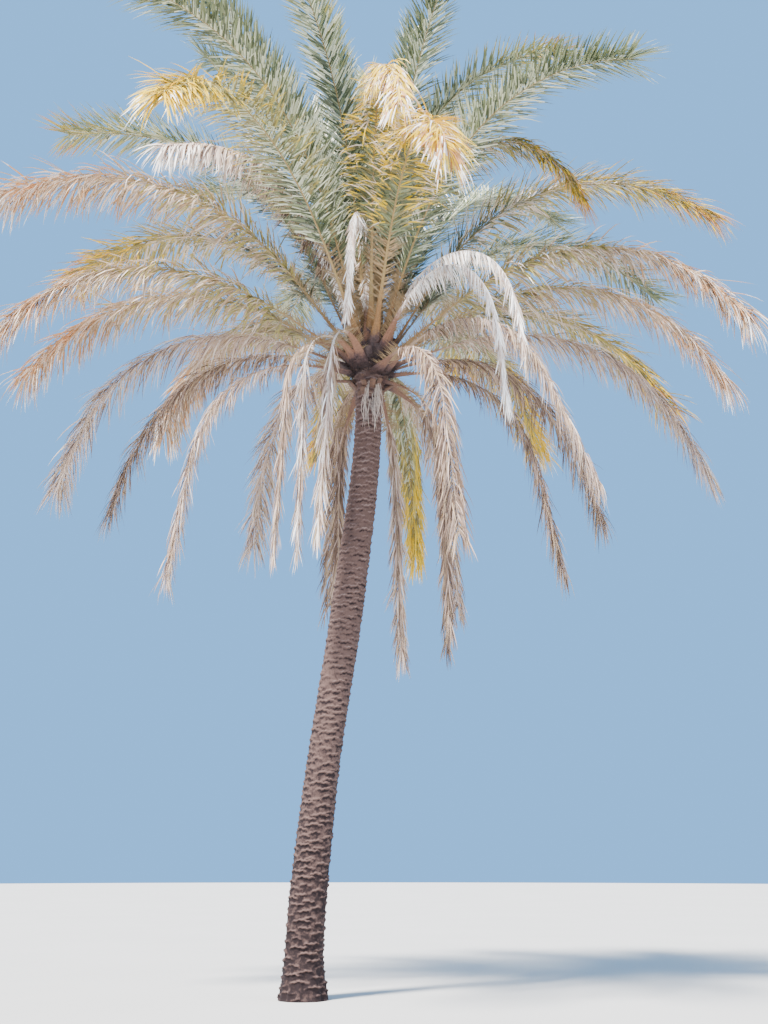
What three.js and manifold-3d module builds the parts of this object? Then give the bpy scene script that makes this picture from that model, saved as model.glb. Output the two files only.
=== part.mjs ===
// A date palm as a whole tree: one leaning, ringed trunk that ends in a bulb of leaf bases, and 59 fronds
// round it, from upright spears down to dead fronds that hang against the trunk.
// Millimetres and degrees. +Z is up, the trunk's flat foot is centred on the origin, and the side that
// faces the viewer is -Y. Azimuth 0 is +X, and it grows towards +Y.

import * as THREE from 'three';
import { mergeVertices } from 'three/addons/utils/BufferGeometryUtils.js';
import Module from 'manifold-3d';

const wasm = await Module();
wasm.setup();

// Trunk: a slender shaft that leans towards +X in an S, flares at its foot and swells where the leaves sit.
// Rings of old leaf scars step in above their lips. Each ring here stands for a few of the real ones.
const SHAFT_TOP = 6750;
const LEAN = 720;
const LEAN_HEIGHT = 7300;
const FOOT_RADIUS = 280;
const FLARE_HEIGHT = 620;
const SHAFT_RADIUS = 214;
const NECK_RADIUS = 163;
const TRUNK_SIDES = 22;
const FLARE_RINGS = 5;
const SCAR_RINGS = 22;
const SCAR_LIP = 9;
const SCAR_SLOPE = 0.8;
// The bulb of leaf bases, as height and radius.
const BULB = [
  [6750, 163], [7080, 188], [7250, 230], [7400, 240], [7520, 208], [7640, 150], [7740, 95], [7820, 40],
];
const BUD_CAP = 20;
const SEAT_GAP = 0.3;

// Old leaf bases, cut short, that stand out of the neck between the lowest fronds.
const STUB_HEIGHT = 6930;
const STUB_LENGTH = 130;
const STUB_WIDTH = 76;
const STUB_ROOT = 60;
const STUB_END = 32;
const STUB_RISE = 42;
const STUB_AZIMUTHS = [-58, 0, 55, 85, 110, 170, 196, 256, 280];
// One longer base stands out level on the left.
const LONG_STUB = { height: 7080, length: 380, rise: 0, azimuth: 184 };

// Fronds, whorl by whorl from the bud down. A frond leaves the bulb at height seat and turns down from
// rise by bend degrees between the shares from and to of its length. leaf is its longest leaflet, open is
// the share of the full angle at which leaflets open, and slack is how far they hang instead.
const WHORLS = [
  { name: 'spear', seat: 7740, base: 36, rise: 87, length: 3900, bend: 12, from: 0.1, to: 1.1,
    leaf: 420, open: 0.75, slack: 0, colour: 0x8c9c80, azimuths: [95, 210, 330] },
  { name: 'inner', seat: 7640, base: 50, rise: 77, length: 4700, bend: 40, from: 0.1, to: 1.15,
    leaf: 550, open: 0.95, slack: 0, colour: 0x86967a, azimuths: [20, 68, 116, 160, 206, 250, 297, 318] },
  { name: 'upper', seat: 7530, base: 64, rise: 66, length: 4900, bend: 75, from: 0.1, to: 1.15,
    leaf: 620, open: 1, slack: 0, colour: 0x8f9a72, azimuths: [-48, 45, 92, 138, 180, 236] },
  { name: 'bowed', seat: 7530, base: 64, rise: 70, length: 4300, bend: 118, from: 0.22, to: 1.05,
    leaf: 560, open: 1, slack: 0.3, colour: 0xb39a62, azimuths: [-24, 214, 272] },
  { name: 'middle', seat: 7440, base: 74, rise: 52, length: 4900, bend: 88, from: 0.1, to: 1.15,
    leaf: 680, open: 1, slack: 0.1, colour: 0xa09a68, azimuths: [-7, 28, 68, 110, 155, 194, 243, 281] },
  { name: 'lower', seat: 7335, base: 80, rise: 34, length: 4800, bend: 85, from: 0.1, to: 1.1,
    leaf: 680, open: 1, slack: 0.2, colour: 0xa8946a, azimuths: [-20, 2, 25, 58, 97, 135, 168, 192] },
  { name: 'low', seat: 7260, base: 88, rise: 20, length: 4500, bend: 92, from: 0.05, to: 1,
    leaf: 600, open: 1, slack: 0.6, colour: 0xa48c70, azimuths: [-5, 40, 80, 118, 152, 180] },
  { name: 'drooping', seat: 7165, base: 88, rise: 8, length: 3800, bend: 90, from: 0, to: 0.7,
    leaf: 500, open: 1, slack: 0.8, colour: 0x9c7f68, azimuths: [8, 62, 105, 193, 294, 322] },
  { name: 'hanging', seat: 7240, base: 76, rise: 60, length: 3250, bend: 148, from: -0.05, to: 0.4,
    leaf: 420, open: 1, slack: 0.9, colour: 0xc2ae9c, azimuths: [204, 225, 246] },
  { name: 'arching', seat: 7400, base: 52, rise: 72, length: 3400, bend: 155, from: 0.02, to: 0.85,
    leaf: 400, open: 1, slack: 0.9, colour: 0xd2c4b4, azimuths: [-57, -36] },
  { name: 'closed', seat: 7400, base: 50, rise: 72, length: 3000, bend: 36, from: 0.1, to: 1,
    leaf: 240, open: 1, slack: 0.9, colour: 0xd2c4b4, azimuths: [222] },
  { name: 'snapped', seat: 7335, base: 52, rise: 80, length: 3100, bend: 155, from: 0.3, to: 0.72,
    leaf: 300, open: 1, slack: 0.95, colour: 0xd2c4b4, azimuths: [260] },
  { name: 'skirt', seat: 7060, base: 80, rise: -10, length: 3400, bend: 78, from: -0.1, to: 0.45,
    leaf: 440, open: 1, slack: 0.9, colour: 0x97765c, azimuths: [25, 72, 115, 335] },
];
// Fronds that go their own way: more rise and bend in degrees, and a share of the length.
const OWN_WAYS = {
  frond_inner_8: { rise: 11, length: 1, bend: 70 },
  frond_upper_1: { rise: -3, length: 0.97, bend: 11 },
  frond_bowed_1: { rise: 10, length: 1.05, bend: 30 },
  frond_bowed_2: { rise: -4, length: 0.84, bend: -24 },
  frond_bowed_3: { rise: -2, length: 1.16, bend: 20 },
  frond_middle_1: { rise: 5, length: 1, bend: 11 },
  frond_middle_7: { rise: -6, length: 1.1, bend: 0 },
  frond_middle_8: { rise: -3, length: 1.02, bend: 22 },
  frond_lower_2: { rise: 1, length: 0.97, bend: 8 },
  frond_low_1: { rise: -2, length: 1, bend: -14 },
  frond_drooping_6: { rise: 27, length: 1.05, bend: 10 },
  frond_arching_1: { rise: -28, length: 1.15, bend: -30 },
  frond_arching_2: { rise: 0, length: 1.07, bend: -7 },
  frond_snapped_1: { rise: 9, length: 1.14, bend: 5 },
};
const WHORL_WAY = { rise: 0, length: 1, bend: 0 };
// How far any frond may differ from its whorl by chance.
const RISE_SPREAD = 4;
const LENGTH_SPREAD = 0.08;
const BEND_SPREAD = 0.12;
const SWAY_SPREAD = 24;
const TWIST_SPREAD = 70;

// The rib of a frond, as shares of its length and widths.
const RIB_STEPS = 96;
const SUNK = 40;
const PETIOLE_STATIONS = [0, 0.03, 0.09];
const BLADE_START = 0.17;
const BASE_TAPER = 1.6;
const BLADE_RIB = 24;
const TIP_RIB = 8;
const RIB_FLATNESS = 0.62;
const LEAFLET_PITCH = 230;

// Leaflets, larger than life: the angle that they open from the rib at the blade's start and tip, their lifts
// from its plane in turn, their lengths at its start and tip as shares of the longest, and how slack ones hang.
const OPEN_START = 52;
const OPEN_TIP = 44;
const LIFTS = [38, -8];
const START_LENGTH = 0.4;
const TIP_LENGTH = 0.85;
const LENGTH_GAIN = 2.4;
const HUNG_ALONG = 0.3;
const HUNG_OUT = 0.17;
const END_LENGTH = 0.7;
// Lengths that a crowded leaflet tries, and the room that it keeps to other fronds and to the trunk.
const LEAFLET_TRIES = [1, 0.75, 0.5, 0.3];
const CLEARANCE = 2;
const TRUNK_CLEARANCE = 38;

const UPWARD = new THREE.Vector3(0, 0, 1);
const radians = THREE.MathUtils.degToRad;

// A repeatable number from 0 to 1 for item i and use k.
function chance(i, k) {
  const v = Math.sin(i * 12.9898 + k * 78.233) * 43758.5453;
  return v - Math.floor(v);
}

const spread = (i, k, width) => width * (chance(i, k) - 0.5);

// How far the trunk's axis has moved towards +X at height z.
const axisX = (z) => LEAN * THREE.MathUtils.smoothstep(z, 0, LEAN_HEIGHT);

function bulbRadius(z) {
  const n = BULB.findIndex(([height]) => height >= z);
  const [[z0, r0], [z1, r1]] = [BULB[n - 1], BULB[n]];
  return r0 + ((r1 - r0) * (z - z0)) / (z1 - z0);
}

// The solid of a closed geometry, for joining and cutting.
function solidOf(geometry) {
  const bare = new THREE.BufferGeometry();
  bare.setAttribute('position', geometry.attributes.position);
  bare.setIndex(geometry.index);
  const merged = mergeVertices(bare, 1e-3);
  return new wasm.Manifold(new wasm.Mesh({
    numProp: 3,
    vertProperties: new Float32Array(merged.attributes.position.array),
    triVerts: new Uint32Array(merged.index.array),
  }));
}

function geometryOf(solid) {
  const mesh = solid.getMesh();
  const geometry = new THREE.BufferGeometry();
  geometry.setAttribute('position', new THREE.BufferAttribute(mesh.vertProperties, 3));
  geometry.setIndex(new THREE.BufferAttribute(mesh.triVerts, 1));
  return geometry;
}

// The trunk's outline from the middle of its foot to the bud, grown outwards by extra.
function trunkProfile(extra) {
  const outline = [new THREE.Vector2(0, 0)];
  for (let n = 0; n < FLARE_RINGS; n += 1) {
    const share = n / FLARE_RINGS;
    outline.push(new THREE.Vector2(SHAFT_RADIUS + (FOOT_RADIUS - SHAFT_RADIUS) * (1 - share) ** 2,
      FLARE_HEIGHT * share));
  }
  const pitch = (SHAFT_TOP - FLARE_HEIGHT) / SCAR_RINGS;
  for (let n = 0; n < SCAR_RINGS; n += 1) {
    const radius = THREE.MathUtils.mapLinear(n, 0, SCAR_RINGS, SHAFT_RADIUS, NECK_RADIUS);
    outline.push(new THREE.Vector2(radius, FLARE_HEIGHT + pitch * n));
    outline.push(new THREE.Vector2(radius + SCAR_LIP, FLARE_HEIGHT + pitch * (n + SCAR_SLOPE)));
  }
  BULB.forEach(([z, radius]) => outline.push(new THREE.Vector2(radius, z)));
  outline.slice(1).forEach((point) => { point.x += extra; });
  outline.push(new THREE.Vector2(0, BULB.at(-1)[0] + BUD_CAP + extra));
  return outline;
}

// A lathe about +Z whose rings are moved along the leaning axis.
function trunkGeometry(extra = 0) {
  const lathe = new THREE.LatheGeometry(trunkProfile(extra), TRUNK_SIDES);
  lathe.rotateX(Math.PI / 2);
  const position = lathe.attributes.position;
  for (let n = 0; n < position.count; n += 1) {
    position.setX(n, position.getX(n) + axisX(position.getZ(n)));
  }
  return lathe;
}

// A cut leaf base: a wedge that starts inside the neck and narrows as it rises outwards.
function stubGeometry({ height, length, rise, azimuth }) {
  const side = new THREE.Shape();
  side.moveTo(-NECK_RADIUS / 2, -STUB_ROOT / 2);
  side.lineTo(length, -STUB_END / 2);
  side.lineTo(length - STUB_END / 2, STUB_END / 2);
  side.lineTo(-NECK_RADIUS / 2, STUB_ROOT / 2);
  const wedge = new THREE.ExtrudeGeometry(side, { depth: STUB_WIDTH, bevelEnabled: false });
  wedge.translate(0, 0, -STUB_WIDTH / 2);
  wedge.rotateX(Math.PI / 2);
  wedge.rotateY(-radians(rise));
  wedge.translate(NECK_RADIUS - STUB_END, 0, 0);
  wedge.rotateZ(radians(azimuth));
  wedge.translate(axisX(height), 0, height);
  return wedge;
}

function trunkSolid() {
  const stubs = STUB_AZIMUTHS.map((azimuth) => (
    { height: STUB_HEIGHT, length: STUB_LENGTH, rise: STUB_RISE, azimuth }));
  return [...stubs, LONG_STUB].reduce((trunk, stub) => trunk.add(solidOf(stubGeometry(stub))),
    solidOf(trunkGeometry()));
}

// The place and the three directions of a frond's rib at each of its steps.
function ribOf(whorl, azimuth, number, own) {
  const rise = whorl.rise + own.rise + spread(number, 1, RISE_SPREAD);
  const length = whorl.length * own.length * (1 + spread(number, 2, LENGTH_SPREAD));
  const bend = whorl.bend * (1 + spread(number, 3, BEND_SPREAD)) + own.bend;
  const sway = spread(number, 4, SWAY_SPREAD);
  const twist = spread(number, 5, TWIST_SPREAD);
  const frameAt = (share) => {
    const up = radians(rise - bend * THREE.MathUtils.smoothstep(share, whorl.from, whorl.to));
    const round = radians(azimuth + sway * share ** 2);
    const turn = radians(twist * share ** 2);
    const outward = new THREE.Vector3(Math.cos(round), Math.sin(round), 0);
    const along = outward.clone().multiplyScalar(Math.cos(up)).addScaledVector(UPWARD, Math.sin(up));
    const flat = outward.clone().multiplyScalar(-Math.sin(up)).addScaledVector(UPWARD, Math.cos(up));
    const right = along.clone().cross(flat);
    return {
      along,
      top: flat.clone().multiplyScalar(Math.cos(turn)).addScaledVector(right, Math.sin(turn)),
      right: right.multiplyScalar(Math.cos(turn)).addScaledVector(flat, -Math.sin(turn)),
    };
  };
  const radius = bulbRadius(whorl.seat);
  const seat = new THREE.Vector3(axisX(whorl.seat), 0, whorl.seat)
    .add(new THREE.Vector3(radius, 0, 0).applyAxisAngle(UPWARD, radians(azimuth)));
  const points = [seat];
  for (let n = 0; n < RIB_STEPS; n += 1) {
    points.push(points[n].clone().addScaledVector(frameAt((n + 0.5) / RIB_STEPS).along, length / RIB_STEPS));
  }
  const placeAt = (share) => {
    const n = Math.min(Math.floor(share * RIB_STEPS), RIB_STEPS - 1);
    return points[n].clone().lerp(points[n + 1], share * RIB_STEPS - n);
  };
  return { whorl, length, frameAt, placeAt };
}

// The rib's width at a share of the frond's length: broad at the seat, slim from the blade on.
function ribWidth(whorl, share) {
  if (share < BLADE_START) {
    return BLADE_RIB + (whorl.base - BLADE_RIB) * (1 - share / BLADE_START) ** BASE_TAPER;
  }
  return THREE.MathUtils.mapLinear(share, BLADE_START, 1, BLADE_RIB, TIP_RIB);
}

// A leaflet's length at a share of the blade: short at its start, longest near a quarter, short at the tip.
const leafletLength = (leaf, share) => leaf * Math.min(1, START_LENGTH + LENGTH_GAIN * share)
  * (1 - (1 - TIP_LENGTH) * share ** 2);

// The way leaflet k points, on the right side for side 1 and on the left for -1.
function leafletDirection(frame, whorl, share, k, side) {
  const open = radians(THREE.MathUtils.lerp(OPEN_START, OPEN_TIP, share) * whorl.open);
  const lift = radians(LIFTS[k % LIFTS.length]);
  const stiff = frame.along.clone().multiplyScalar(Math.cos(open))
    .addScaledVector(frame.right, side * Math.sin(open) * Math.cos(lift))
    .addScaledVector(frame.top, Math.sin(open) * Math.sin(lift));
  const hung = frame.along.clone().multiplyScalar(HUNG_ALONG)
    .addScaledVector(frame.right, side * HUNG_OUT)
    .sub(UPWARD).normalize();
  return stiff.lerp(hung, whorl.slack).normalize();
}

// The rib's four corners at a share: right top, right bottom, left bottom, left top.
function cornersAt(rib, share) {
  const { right, top, along } = rib.frameAt(share);
  const place = rib.placeAt(share);
  if (share === 0) place.addScaledVector(along, -SUNK);
  const half = ribWidth(rib.whorl, share) / 2;
  const high = half * RIB_FLATNESS;
  return [[1, 1], [1, -1], [-1, -1], [-1, 1]].map(([r, t]) => place.clone()
    .addScaledVector(right, r * half).addScaledVector(top, t * high));
}

// A convex piece for the test that fronds stay clear of each other.
function convex(corners, faces, edges) {
  const normals = faces.map(([a, b, c]) => corners[b].clone().sub(corners[a])
    .cross(corners[c].clone().sub(corners[a])).normalize());
  const ways = edges.map(([a, b]) => corners[b].clone().sub(corners[a]).normalize());
  return { corners, normals, ways, box: new THREE.Box3().setFromPoints(corners).expandByScalar(CLEARANCE) };
}

function spanAlong(corners, axis) {
  const along = corners.map((corner) => corner.dot(axis));
  return [Math.min(...along), Math.max(...along)];
}

// True if some direction shows a gap of at least CLEARANCE between two convex pieces.
function apart(a, b) {
  if (!a.box.intersectsBox(b.box)) return true;
  const parts = (axis) => {
    if (axis.lengthSq() < 1e-8) return false;
    axis.normalize();
    const [lowA, highA] = spanAlong(a.corners, axis);
    const [lowB, highB] = spanAlong(b.corners, axis);
    return lowA - highB > CLEARANCE || lowB - highA > CLEARANCE;
  };
  return a.normals.some((axis) => parts(axis.clone())) || b.normals.some((axis) => parts(axis.clone()))
    || a.ways.some((u) => b.ways.some((v) => parts(u.clone().cross(v))));
}

const ribPiece = (from, to) => convex([...from, ...to],
  [[0, 1, 5], [3, 0, 4], [0, 2, 1]], [[0, 4], [0, 1], [0, 3]]);

const leafletPiece = (root, tip) => convex([...root, tip],
  [[0, 1, 4], [1, 2, 4], [2, 3, 4], [3, 0, 4]], [[0, 4], [1, 4], [2, 4], [3, 4], [0, 1], [1, 2]]);

// True if a leaflet keeps off the trunk, tested along its line from root to tip.
function clearOfTrunk(root, tip) {
  return [0.5, 0.75, 1].every((share) => {
    const point = root.clone().lerp(tip, share);
    const radius = point.z > BULB.at(-1)[0] ? 0 : point.z > SHAFT_TOP ? bulbRadius(point.z) : SHAFT_RADIUS;
    return Math.hypot(point.x - axisX(point.z), point.y) > radius + TRUNK_CLEARANCE;
  });
}

// Every frond's rib and stations, and the leaflets that fit between its neighbours.
function planCrown() {
  const fronds = [];
  WHORLS.forEach((whorl) => whorl.azimuths.forEach((azimuth, n) => {
    const name = `frond_${whorl.name}_${n + 1}`;
    const rib = ribOf(whorl, azimuth, fronds.length, OWN_WAYS[name] ?? WHORL_WAY);
    const pairs = Math.round((rib.length * (1 - BLADE_START)) / LEAFLET_PITCH);
    const blade = Array.from({ length: pairs + 1 }, (_, k) => BLADE_START + ((1 - BLADE_START) * k) / pairs);
    const sections = [...PETIOLE_STATIONS, ...blade].map((share) => cornersAt(rib, share));
    const pieces = sections.slice(1).map((section, k) => ribPiece(sections[k], section));
    fronds.push({ name, rib, blade, sections, pieces, tips: [] });
  }));
  fronds.forEach((frond) => {
    const others = fronds.filter((other) => other !== frond);
    frond.blade.slice(1).forEach((end, k) => [1, -1].forEach((side) => {
      frond.tips.push(leafletTip(frond, k, side, others));
    }));
  });
  return fronds;
}

// The tip of leaflet k on one side, shortened until it touches nothing, or null where none fits.
function leafletTip(frond, k, side, others) {
  const first = PETIOLE_STATIONS.length + k;
  const [near, far] = [frond.sections[first], frond.sections[first + 1]];
  const root = side > 0 ? [near[0], near[1], far[1], far[0]] : [near[2], near[3], far[3], far[2]];
  const middle = (frond.blade[k] + frond.blade[k + 1]) / 2;
  const share = (middle - BLADE_START) / (1 - BLADE_START);
  const way = leafletDirection(frond.rib.frameAt(middle), frond.rib.whorl, share, k, side);
  const centre = root.reduce((sum, corner) => sum.add(corner), new THREE.Vector3()).divideScalar(4);
  for (const trial of LEAFLET_TRIES) {
    const reach = leafletLength(frond.rib.whorl.leaf, share) * trial;
    const tip = centre.clone().addScaledVector(way, reach);
    const piece = leafletPiece(root, tip);
    if (clearOfTrunk(centre, tip) && others.every((other) => other.pieces.every((p) => apart(piece, p)))) {
      frond.pieces.push(piece);
      return tip;
    }
  }
  return null;
}

// One closed surface: the rib's box sections, with each leaflet drawn out of the rib's side to its tip.
function frondGeometry(frond) {
  const corners = frond.sections.flat();
  const faces = [];
  const quad = (a, b, c, d) => faces.push([a, b, c], [a, c, d]);
  const drawn = (a, b, c, d, tip) => {
    if (!tip) {
      quad(a, b, c, d);
      return;
    }
    corners.push(tip);
    const t = corners.length - 1;
    faces.push([a, b, t], [b, c, t], [c, d, t], [d, a, t]);
  };
  quad(0, 3, 2, 1);
  for (let n = 0; n < frond.sections.length - 1; n += 1) {
    const [a, b] = [4 * n, 4 * (n + 1)];
    const k = n - PETIOLE_STATIONS.length;
    drawn(a, a + 1, b + 1, b, k < 0 ? null : frond.tips[2 * k]);
    drawn(a + 2, a + 3, b + 3, b + 2, k < 0 ? null : frond.tips[2 * k + 1]);
    quad(a + 1, a + 2, b + 2, b + 1);
    quad(a + 3, a, b, b + 3);
  }
  const last = 4 * (frond.sections.length - 1);
  const end = frond.rib.placeAt(1).addScaledVector(frond.rib.frameAt(1).along,
    leafletLength(frond.rib.whorl.leaf, 1) * END_LENGTH);
  corners.push(end);
  const t = corners.length - 1;
  for (let n = 0; n < 4; n += 1) faces.push([last + n, last + ((n + 1) % 4), t]);
  const geometry = new THREE.BufferGeometry().setFromPoints(corners);
  geometry.setIndex(faces.flat());
  return geometry;
}

function meshOf(name, geometry, colour, roughness) {
  geometry.computeVertexNormals();
  const mesh = new THREE.Mesh(geometry, new THREE.MeshStandardMaterial({ color: colour, roughness }));
  mesh.name = name;
  return mesh;
}

const palm = new THREE.Group();
palm.name = 'date_palm';
palm.add(meshOf('trunk', geometryOf(trunkSolid()), 0x7a5f54, 0.9));
const cutter = solidOf(trunkGeometry(SEAT_GAP));
planCrown().forEach((frond) => {
  const seated = solidOf(frondGeometry(frond)).subtract(cutter);
  palm.add(meshOf(frond.name, geometryOf(seated), frond.rib.whorl.colour, 0.7));
});

export default palm;
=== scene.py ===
import math
from collections import namedtuple

import bmesh
import bpy
import numpy as np
from mathutils import Matrix, Vector


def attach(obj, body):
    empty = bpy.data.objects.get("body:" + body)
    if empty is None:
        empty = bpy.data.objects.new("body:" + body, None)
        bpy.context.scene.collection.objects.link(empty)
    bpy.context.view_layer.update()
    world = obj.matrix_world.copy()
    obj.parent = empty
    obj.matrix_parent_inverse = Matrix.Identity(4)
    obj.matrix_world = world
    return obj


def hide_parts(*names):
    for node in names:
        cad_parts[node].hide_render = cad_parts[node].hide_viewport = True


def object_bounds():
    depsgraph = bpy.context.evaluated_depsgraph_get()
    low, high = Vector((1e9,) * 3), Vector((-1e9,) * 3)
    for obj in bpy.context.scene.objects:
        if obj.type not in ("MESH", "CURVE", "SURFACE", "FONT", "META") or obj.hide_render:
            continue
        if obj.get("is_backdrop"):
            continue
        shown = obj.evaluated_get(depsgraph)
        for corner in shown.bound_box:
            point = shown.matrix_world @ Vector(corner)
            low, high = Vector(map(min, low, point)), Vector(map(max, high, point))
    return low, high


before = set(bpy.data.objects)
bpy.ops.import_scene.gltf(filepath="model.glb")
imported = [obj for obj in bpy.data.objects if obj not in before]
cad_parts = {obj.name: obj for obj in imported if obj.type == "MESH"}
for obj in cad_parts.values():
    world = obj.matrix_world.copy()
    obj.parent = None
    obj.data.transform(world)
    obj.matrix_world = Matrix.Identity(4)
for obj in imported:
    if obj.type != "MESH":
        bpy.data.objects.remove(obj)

CAD_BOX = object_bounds()

bl_info = {
    "name": "Date Palm",
    "version": (1, 0, 0),
    "blender": (4, 5, 0),
    "location": "View3D > Sidebar > Palm",
    "description": "Dresses the packed date palm: ringed bark, leaf bases, fibre, ribs, spines and leaflets",
    "category": "Add Mesh",
}

# Trunk, as in the part's source, in metres: lean, flare, shaft and the bulb that the fronds sit on.
SHAFT_TOP = 6.75
LEAN = 0.72
LEAN_HEIGHT = 7.3
FOOT_RADIUS = 0.28
FLARE_HEIGHT = 0.62
SHAFT_RADIUS = 0.214
NECK_RADIUS = 0.163
BULB_HEIGHTS = (6.75, 7.08, 7.25, 7.4, 7.52, 7.64, 7.74, 7.82, 7.84)
BULB_RADII = (0.163, 0.188, 0.23, 0.24, 0.208, 0.15, 0.095, 0.04, 0.012)
STUB_HEIGHT = 6.93
STUB_RISE = 42
STUB_AZIMUTHS = (-58, 0, 55, 85, 110, 170, 196, 256, 280)
# The one longer base on the left: its height, azimuth, length, a little less than the source's, and width.
LONG_STUB = (7.08, 184, 0.36, 0.08)

# How far one frond differs from its whorl, as in the part's source.
RISE_SPREAD = 4
LENGTH_SPREAD = 0.08
BEND_SPREAD = 0.12
SWAY_SPREAD = 24
TWIST_SPREAD = 70
RIB_STEPS = 96

# Shares of a frond's length and its rib's widths.
BLADE_START = 0.17
BASE_TAPER = 1.6
BLADE_RIB = 0.024
TIP_RIB = 0.008
RIB_FLATNESS = 0.62

# Leaflets: how they open, shorten and hang, as in the part's source.
OPEN_START = 52
OPEN_TIP = 44
START_LENGTH = 0.4
TIP_LENGTH = 0.85
LENGTH_GAIN = 2.4
HUNG_ALONG = 0.3
HUNG_OUT = 0.17
# Real leaflets lift from the blade in several ranks, in degrees, more than the source's two.
RANKS = (-22, -8, 14, 38, 46)
# Leaflets beside each other that hang in one tuft.
TUFT = 7

Whorl = namedtuple("Whorl", "name seat base rise length bend start end leaf open slack slot looks")

# Each whorl's fronds as azimuth and look, from the bud down. Azimuth 0 is +X and grows towards +Y.
WHORLS = [
    Whorl("spear", 7.74, 0.036, 87, 3.9, 12, 0.1, 1.1, 0.42, 0.75, 0.0, "leaf_green",
          {95: "green", 210: "green", 330: "green"}),
    Whorl("inner", 7.64, 0.05, 77, 4.7, 40, 0.1, 1.15, 0.55, 0.95, 0.0, "leaf_green",
          {20: "green", 68: "green", 116: "green", 160: "green", 206: "green", 250: "tipped",
           297: "green", 318: "tipped"}),
    Whorl("upper", 7.53, 0.064, 66, 4.9, 75, 0.1, 1.15, 0.62, 1, 0.0, "leaf_green",
          {-48: "green", 45: "green", 92: "tipped", 138: "green", 180: "tipped", 236: "green"}),
    Whorl("bowed", 7.53, 0.064, 70, 4.3, 118, 0.22, 1.05, 0.56, 1, 0.3, "leaf_yellowing",
          {-24: "turning", 214: "withered", 272: "curled"}),
    Whorl("middle", 7.44, 0.074, 52, 4.9, 88, 0.1, 1.15, 0.68, 1, 0.1, "leaf_yellowing",
          {-7: "turning", 28: "green", 68: "turning", 110: "tipped", 155: "turning", 194: "drying",
           243: "yellow", 281: "curled"}),
    Whorl("lower", 7.335, 0.08, 34, 4.8, 85, 0.1, 1.1, 0.68, 1, 0.2, "leaf_yellowing",
          {-20: "drying", 2: "drying", 25: "turning", 58: "yellow", 97: "turning", 135: "drying",
           168: "drying", 192: "drying"}),
    Whorl("low", 7.26, 0.088, 20, 4.5, 92, 0.05, 1.0, 0.6, 1, 0.6, "leaf_dry",
          {-5: "dry", 40: "brown", 80: "yellow", 118: "dry", 152: "brown", 180: "dry"}),
    Whorl("drooping", 7.165, 0.088, 8, 3.8, 90, 0.0, 0.7, 0.5, 1, 0.8, "leaf_dry",
          {8: "brown", 62: "dry", 105: "brown", 193: "dry", 294: "brown", 322: "dry"}),
    Whorl("hanging", 7.24, 0.076, 60, 3.25, 148, -0.05, 0.4, 0.42, 1, 0.9, "leaf_dry",
          {204: "dry", 225: "bleached", 246: "bleached"}),
    Whorl("arching", 7.4, 0.052, 72, 3.4, 155, 0.02, 0.85, 0.4, 1, 0.9, "leaf_dry",
          {-57: "white", -36: "white"}),
    Whorl("closed", 7.4, 0.05, 72, 3.0, 36, 0.1, 1.0, 0.24, 1, 0.9, "leaf_dry", {222: "white"}),
    Whorl("snapped", 7.335, 0.052, 80, 3.1, 155, 0.3, 0.72, 0.3, 1, 0.95, "leaf_dry", {260: "white"}),
    Whorl("skirt", 7.06, 0.08, -10, 3.4, 78, -0.1, 0.45, 0.44, 1, 0.9, "leaf_dry",
          {25: "brown", 72: "dry", 115: "brown", 335: "brown"}),
]

# Fronds that go their own way, as in the part's source: more rise, a share of the length, more bend.
OWN_WAYS = {
    "frond_inner_8": (11, 1, 70), "frond_upper_1": (-3, 0.97, 11), "frond_bowed_1": (10, 1.05, 30),
    "frond_bowed_2": (-4, 0.84, -24), "frond_bowed_3": (-2, 1.16, 20), "frond_middle_1": (5, 1, 11),
    "frond_middle_7": (-6, 1.1, 0), "frond_middle_8": (-3, 1.02, 22), "frond_lower_2": (1, 0.97, 8),
    "frond_low_1": (-2, 1, -14), "frond_drooping_6": (27, 1.05, 10), "frond_arching_1": (-28, 1.15, -30),
    "frond_arching_2": (0, 1.07, -7), "frond_snapped_1": (9, 1.14, 5),
}

# A look's colours from the inner end of a leaflet near the heart to its outer end near the frond's tip.
# Among the living colours the pale green is partly the leaflets' waxy tone and partly a painted glint, and the
# deep green partly painted shade.
LIVING_LOOKS = {
    "green": ("deep_green", "grey_green", "glint_pale_green", "deep_green", "grey_green", "grey_green",
              "glint_pale_green"),
    "tipped": ("grey_green", "deep_green", "glint_pale_green", "grey_green", "yellow_green", "orange_tan"),
    "turning": ("deep_green", "olive", "beige", "yellow_green", "olive", "yellow", "orange_tan",
                "orange_tan"),
    "yellow": ("deep_green", "grey_green", "glint_pale_green", "olive", "yellow_green", "yellow", "yellow",
               "yellow", "bone"),
    "drying": ("olive", "yellow_green", "tan", "beige", "tan", "orange_tan", "beige", "bone"),
    "curled": ("grey_green", "deep_green", "olive", "yellow", "beige", "yellow", "yellow",
               "orange_tan", "bone", "bone"),
    "withered": ("grey_brown", "brown", "tan", "pink_tan", "beige", "bone", "bone"),
}
# A dead look's colours come in any order.
DEAD_LOOKS = {
    "dry": ("tan", "pink_tan", "pink_tan", "beige", "grey_brown"),
    "bleached": ("pink_tan", "bone", "tan", "beige", "grey_brown", "pink_tan"),
    "white": ("bone", "bone", "beige", "bone", "pink_tan"),
    "brown": ("brown", "grey_brown", "grey_brown", "tan", "pink_tan"),
}

FRESH_LOOKS = ("green", "tipped")
PALE_LOOKS = ("bleached", "white")

# How much more an ageing look's leaflets hang than the source says, at the frond's base and at its tip.
SAGGING = {"turning": (0.0, 0.25), "yellow": (0.0, 0.3), "drying": (0.1, 0.45), "curled": (0.0, 0.5),
           "withered": (0.5, 0.65)}

# Share of the blade, from its inner end, that has lost its leaflets.
BARE = {"bleached": 0.15, "curled": 0.13, "yellow": 0.09, "turning": 0.04, "drying": 0.06, "withered": 0.1}

# The photo's camera: where the eye stands, how far it looks up, and its lens.
EYE = (0.886, -16.95, 1.6)
EYE_PITCH = 12.87
EYE_LENS = 52

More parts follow.
